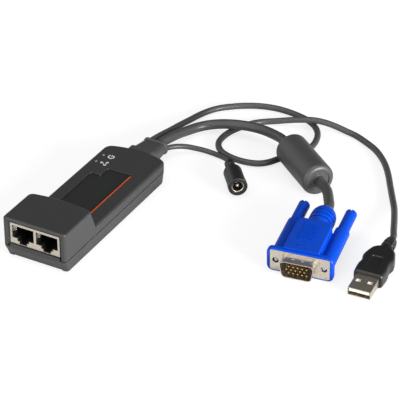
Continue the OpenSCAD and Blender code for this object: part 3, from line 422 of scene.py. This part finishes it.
# The stagger is in pitches, and a tipEnd over 1 leaves a blunt end
pinShape = {"stagger": 0.25, "steps": 110, "sides": 16, "tipEnd": 1.02}
plug = {"at": (119.4, -67 + tipY, 7.2), "turn": 8.5, "tilt": 4.9}  # millimetres and degrees
plugPlace = (Matrix.Translation(Vector(plug["at"]) * mm) @ Matrix.Rotation(math.radians(plug["turn"]), 4, "Z")
             @ Matrix.Rotation(math.radians(plug["tilt"]), 4, "X"))


def pinTree():
    tree, size = startTree("pinField", pinSizes)
    index = addNode(tree, "GeometryNodeInputIndex").outputs[0]
    column = calc(tree, "MODULO", index, size["Columns"])
    row = calc(tree, "FLOOR", calc(tree, "DIVIDE", index, size["Columns"]))
    middle = middleOf(tree, size["Columns"])
    centre = middleOf(tree, size["Rows"])
    inMiddle = calc(tree, "COMPARE", row, centre)
    stagger = pinShape["stagger"]
    aside = calc(tree, "SUBTRACT", stagger, calc(tree, "MULTIPLY", inMiddle, 2 * stagger))
    steps = calc(tree, "ADD", calc(tree, "SUBTRACT", column, middle), aside)
    across = calc(tree, "MULTIPLY", steps, size["Pitch"])
    height = calc(tree, "MULTIPLY", calc(tree, "SUBTRACT", row, centre), size["Row Pitch"])
    spot = addNode(tree, "ShaderNodeCombineXYZ", inputs={"X": across, "Z": height})
    total = calc(tree, "MULTIPLY", size["Columns"], size["Rows"])
    spots = addNode(tree, "GeometryNodePoints", inputs={"Count": total, "Position": spot.outputs[0]})
    tip = addNode(tree, "ShaderNodeCombineXYZ", inputs={"Y": size["Tip"]})
    tail = addNode(tree, "ShaderNodeCombineXYZ", inputs={"Y": size["Tail"]})
    line = addNode(tree, "GeometryNodeCurvePrimitiveLine",
                   inputs={"Start": tip.outputs[0], "End": tail.outputs[0]})
    fine = addNode(tree, "GeometryNodeResampleCurve", inputs={"Curve": line.outputs[0], "Count": pinShape["steps"]})
    run = addNode(tree, "GeometryNodeSplineParameter").outputs["Length"]
    left = calc(tree, "SUBTRACT", 1.0, calc(tree, "MINIMUM", calc(tree, "DIVIDE", run, size["Radius"]), 1.0))
    bullet = calc(tree, "SQRT", calc(tree, "SUBTRACT", pinShape["tipEnd"], calc(tree, "MULTIPLY", left, left)))
    girth = calc(tree, "MINIMUM", bullet, 1.0)
    shaped = addNode(tree, "GeometryNodeSetCurveRadius", inputs={"Curve": fine.outputs[0], "Radius": girth})
    ring = addNode(tree, "GeometryNodeCurvePrimitiveCircle",
                   inputs={"Resolution": pinShape["sides"], "Radius": size["Radius"]})
    pin = addNode(tree, "GeometryNodeCurveToMesh",
                  inputs={"Curve": shaped.outputs[0], "Profile Curve": ring.outputs[0], "Fill Caps": True})
    placed = addNode(tree, "GeometryNodeInstanceOnPoints",
                     inputs={"Points": spots.outputs[0], "Instance": pin.outputs[0]})
    endTree(tree, placed.outputs[0], flashGold)
    return tree


# Network port wires: one bent spring wire, set eight times in each port
wireSizes = {"Wires": 8, "Ports": 2, "Pitch": 1.0209 * mm, "Port Pitch": 13.97 * mm, "Width": 0.357 * mm,
             "Thickness": 0.3 * mm, "Bend": 0.5 * mm}
wireRun = [(12.4, 10.65), (2.75, 10.35), (9.7, 7.55)]  # distance from the frame's face, height over the board
bendSteps = 6
# The frame's face lies an eighth of its sheet behind the rim
jack = {"rimDepth": 0.9, "sheet": 0.35, "boardTop": 9.3}
jackPlace = Matrix.Translation(Vector((0, -tipY + jack["rimDepth"] + jack["sheet"] / 8, jack["boardTop"])) * mm)


def wireTree():
    tree, size = startTree("portWires", wireSizes)
    path = addNode(tree, "GeometryNodeFilletCurve", {"mode": "POLY"},
                   {"Curve": size["Geometry"], "Radius": size["Bend"], "Count": bendSteps})
    section = addNode(tree, "GeometryNodeCurvePrimitiveQuadrilateral",
                      inputs={"Width": size["Thickness"], "Height": size["Width"]})
    wire = addNode(tree, "GeometryNodeCurveToMesh",
                   inputs={"Curve": path.outputs[0], "Profile Curve": section.outputs[0], "Fill Caps": True})
    index = addNode(tree, "GeometryNodeInputIndex").outputs[0]
    port = calc(tree, "FLOOR", calc(tree, "DIVIDE", index, size["Wires"]))
    order = calc(tree, "MODULO", index, size["Wires"])
    inPort = calc(tree, "SUBTRACT", order, middleOf(tree, size["Wires"]))
    ofPort = calc(tree, "SUBTRACT", port, middleOf(tree, size["Ports"]))
    across = calc(tree, "ADD", calc(tree, "MULTIPLY", inPort, size["Pitch"]),
                  calc(tree, "MULTIPLY", ofPort, size["Port Pitch"]))
    spot = addNode(tree, "ShaderNodeCombineXYZ", inputs={"X": across})
    total = calc(tree, "MULTIPLY", size["Wires"], size["Ports"])
    spots = addNode(tree, "GeometryNodePoints", inputs={"Count": total, "Position": spot.outputs[0]})
    placed = addNode(tree, "GeometryNodeInstanceOnPoints",
                     inputs={"Points": spots.outputs[0], "Instance": wire.outputs[0]})
    endTree(tree, placed.outputs[0], flashGold)
    return tree


def wirePath():
    curve = bpy.data.curves.new("wirePath", "CURVE")
    curve.dimensions = "3D"
    spline = curve.splines.new("POLY")
    spline.points.add(len(wireRun) - 1)
    for point, (y, z) in zip(spline.points, wireRun):
        point.co = (0, y * mm, z * mm, 1)
    return curve


grown = {
    "vga_pins": growPiece("vgaPins", bpy.data.meshes.new("pinSeed"), pinTree(), pinSizes, plugPlace),
    "jack_contacts": growPiece("jackContacts", wirePath(), wireTree(), wireSizes, jackPlace),
}
for node, piece in grown.items():
    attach(piece, bodyOf[node])
    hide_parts(node)
print("pins and wires grown")

# Each solid's copy: its material and the radius of its edges in millimetres
dressed = {
    "upper_shell": (mouldedAbs, 0.25), "lower_shell": (mouldedAbs, 0.2), "label_inlay": (labelFilm, 0.05),
    "accent_stripe": (stripeEnamel, 0.12), "light_pipes": (milkyAcrylic, 0.08),
    "jack_shield": (nickelPlate, 0), "jack_insert": (blackNylonAndRecessShade, 0.1),
    "strain_relief_boot": (leadPvc, 0.3), "case_screws": (zincPlate, 0.1),
    "ferrite_cover": (leadPvc, 0.15), "vga_hood": (bluePvc, 0), "vga_shell": (nickelPlate, 0),
    "vga_insulator": (brownNylon, 0.05),
    "left_thumb_knob": (bluePvc, 0.15), "right_thumb_knob": (bluePvc, 0.15),
    "left_jackscrew": (zincPlate, 0.05), "right_jackscrew": (zincPlate, 0.05),
    "usb_overmould": (blackPvc, 0.2), "usb_shell": (nickelPlate, 0), "usb_tongue_block": (naturalNylon, 0.08),
    "usb_contacts": (flashGold, 0.03), "dc_overmould": (blackPvc, 0.15), "dc_sleeve": (nickelPlate, 0.06),
    "dc_insulator": (blackNylonAndRecessShade, 0.05), "dc_pin": (nickelPlate, 0.05),
}
creases = {"vga_shell": 16.0}  # degrees, where a shallow dent still shows its rim
for node, (material, edge) in dressed.items():
    finerCopy(node, material, edge, creases.get(node, finish["sharpDegrees"]))

# Painted shade: the recess's walls get the near-black nylon, darker than the deck, in place of the shadow that falls
# inside the recess
recessShadeZone = {"lowX": -11.3, "highX": 10.1, "lowY": -32.0, "highY": 18.9, "lowZ": 11.5, "highZ": 12.85,
          "steepest": 0.3}
shellMesh = pieces["upperShell"].data
shellMesh.materials.append(blackNylonAndRecessShade)
for face in shellMesh.polygons:
    x, y, z = face.center / mm
    inRecessShade = (recessShadeZone["lowX"] < x < recessShadeZone["highX"] and recessShadeZone["lowY"] < y < recessShadeZone["highY"]
                and recessShadeZone["lowZ"] < z < recessShadeZone["highZ"])
    # steep faces inside the recess take the near-black material as painted shade
    if inRecessShade and abs(face.normal.z) < recessShadeZone["steepest"]:
        face.material_index = 1

# Solids that are seen as they are, or not at all, keep their own mesh
inside = {
    "circuit_board": solderMask, "processor_chip": mouldCompound, "video_chip": mouldCompound,
    "memory_chips": mouldCompound, "network_magnetics": mouldCompound, "power_inductors": sinteredFerrite,
    "board_capacitors": drawnAluminium, "status_leds": milkyAcrylic, "wire_header": naturalNylon,
    "inner_cable_ends": leadPvc, "vga_cord_core_run": leadPvc, "ferrite_core": sinteredFerrite,
}
for node, material in inside.items():
    nodes[node].data.materials.clear()
    nodes[node].data.materials.append(material)
print("pieces dressed")

# Printed marks beside the two windows: a power sign, and a hub joined to two stations
marks = {
    "deckZ": 12.8, "film": 0.02, "bed": 0.01, "steps": 40,
    "power": {"at": (-9.4, 29.3), "outer": 1.85, "inner": 1.2, "gapDegrees": 70, "barWidth": 0.5, "barTop": 1.95,
              "barFoot": 0.25},
    "network": {"at": (-9.0, 21.9), "stations": ((-1.9, 0.1), (0.8, 1.35)), "hub": (0.65, -1.25), "boxSide": 1.35,
                "lineWidth": 0.42},
}


def squareAt(x, y, side):
    half = side / 2
    return [(x - half, y - half), (x + half, y - half), (x + half, y + half), (x - half, y + half)]


def strip(a, b, width):
    half = (Vector(b) - Vector(a)).normalized() * width / 2
    return [(a[0] + half.y, a[1] - half.x), (b[0] + half.y, b[1] - half.x),
            (b[0] - half.y, b[1] + half.x), (a[0] - half.y, a[1] + half.x)]


def ringPart(outer, inner, gapDegrees, steps):
    start = math.radians(90 + gapDegrees / 2)
    sweep = math.radians(360 - gapDegrees)
    turns = [start + sweep * i / steps for i in range(steps + 1)]
    return [[(r * math.cos(t), r * math.sin(t)) for r, t in ((inner, a), (outer, a), (outer, b), (inner, b))]
            for a, b in zip(turns, turns[1:])]


def printMark(name, at, shapes):
    build = bmesh.new()
    for shape in shapes:
        low = [build.verts.new(((at[0] + x) * mm, (at[1] + y) * mm, (marks["deckZ"] - marks["bed"]) * mm))
               for x, y in shape]
        face = build.faces.new(low)
        raised = bmesh.ops.extrude_face_region(build, geom=[face])
        top = [v for v in raised["geom"] if isinstance(v, bmesh.types.BMVert)]
        bmesh.ops.translate(build, verts=top, vec=(0, 0, (marks["bed"] + marks["film"]) * mm))
    bmesh.ops.recalc_face_normals(build, faces=build.faces)
    mesh = bpy.data.meshes.new(name)
    build.to_mesh(mesh)
    build.free()
    mesh.materials.append(markInk)
    piece = pieces[name] = addObject(name, mesh)
    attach(piece, "module")


power, network = marks["power"], marks["network"]
printMark("powerMark", power["at"], ringPart(power["outer"], power["inner"], power["gapDegrees"], marks["steps"])
          + [strip((0, power["barFoot"]), (0, power["barTop"]), power["barWidth"])])
printMark("networkMark", network["at"],
          [squareAt(*spot, network["boxSide"]) for spot in (*network["stations"], network["hub"])]
          + [strip(network["hub"], spot, network["lineWidth"]) for spot in network["stations"]])
print("marks printed")

for name, (piece, exitPoint, length) in leadFacts.items():
    lead = leads[name]
    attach(piece, "module")
    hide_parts(lead["node"])


studio = {
    "floorSize": 12.0,
    "floorDrop": 0.1,
    "floorWhite": "#f7f7f7",
    "glow": 1.1,
    "glowShare": 0.7,
    "ambient": 0.38,
    "darkSide": (-0.12, 0.83, 0.54),  # part of the room that tops facing the lens mirror
    "darkLevel": 0.12,
    "darkFade": (0.45, 0.85),  # cosine of the angle to darkSide: where the dark starts and where it is full
    "lamps": {
        # name: (place, aim, size, watts)
        "overhead": ((-0.2, -0.1, 1.6), (0.05, 0.05, 0.0), 1.2, 7.0),
        "right": ((1.5, -0.4, 0.32), (0.0, 0.0, 0.0), 0.62, 48.0),
        "front": ((-0.3, -1.4, 0.45), (0.05, 0.0, 0.0), 0.8, 6.0),
    },
}


def makeFloor():
    mesh = bpy.data.meshes.new("floor")
    half = studio["floorSize"] / 2
    low = -studio["floorDrop"] * mm
    corners = [(-half, -half, low), (half, -half, low), (half, half, low), (-half, half, low)]
    mesh.from_pydata(corners, [], [(0, 1, 2, 3)])
    floor = addObject("floor", mesh)
    material = bpy.data.materials.new("paperFloor")
    material.use_nodes = True
    tree = material.node_tree
    tree.nodes.clear()
    white = linearColour(studio["floorWhite"])
    paper = addNode(tree, "ShaderNodeBsdfDiffuse", inputs={"Color": white})
    glow = addNode(tree, "ShaderNodeEmission", inputs={"Color": (1, 1, 1, 1), "Strength": studio["glow"]})
    path = addNode(tree, "ShaderNodeLightPath")
    share = calc(tree, "MULTIPLY", path.outputs["Is Camera Ray"], studio["glowShare"])
    both = addNode(tree, "ShaderNodeMixShader", inputs={0: share, 1: paper.outputs[0], 2: glow.outputs[0]})
    addNode(tree, "ShaderNodeOutputMaterial", inputs={"Surface": both.outputs[0]})
    mesh.materials.append(material)


def makeLight():
    world = bpy.data.worlds.new("studio")
    scene.world = world
    world.use_nodes = True
    tree = world.node_tree
    tree.nodes.clear()
    path = addNode(tree, "ShaderNodeLightPath")
    toward = addNode(tree, "ShaderNodeTexCoord").outputs["Generated"]
    near = addNode(tree, "ShaderNodeVectorMath", {"operation": "DOT_PRODUCT"}, {0: toward, 1: studio["darkSide"]})
    fadeFrom, fadeTo = studio["darkFade"]
    mirrored = addNode(tree, "ShaderNodeMapRange", {"interpolation_type": "SMOOTHSTEP"},
                       {"Value": near.outputs["Value"], "From Min": fadeFrom, "From Max": fadeTo, "To Min": 1.0,
                        "To Max": studio["darkLevel"]})
    glossy = addNode(tree, "ShaderNodeMix", {"data_type": "FLOAT"},
                     {"Factor": path.outputs["Is Glossy Ray"], "A": studio["ambient"],
                      "B": mirrored.outputs["Result"]})
    strength = addNode(tree, "ShaderNodeMix", {"data_type": "FLOAT"},
                       {"Factor": path.outputs["Is Camera Ray"], "A": glossy.outputs["Result"], "B": 1.0})
    light = addNode(tree, "ShaderNodeBackground",
                    inputs={"Color": (1, 1, 1, 1), "Strength": strength.outputs["Result"]})
    addNode(tree, "ShaderNodeOutputWorld", inputs={"Surface": light.outputs[0]})
    for name, (place, aim, size, watts) in studio["lamps"].items():
        data = bpy.data.lights.new(name, "AREA")
        data.size = size
        data.energy = watts
        lamp = addObject(name, data)
        lamp.location = place
        lamp.rotation_mode = "QUATERNION"
        lamp.rotation_quaternion = (Vector(aim) - Vector(place)).to_track_quat("-Z", "Y")


makeFloor()
makeLight()
scene.view_settings.view_transform = "Standard"
print("studio lit")
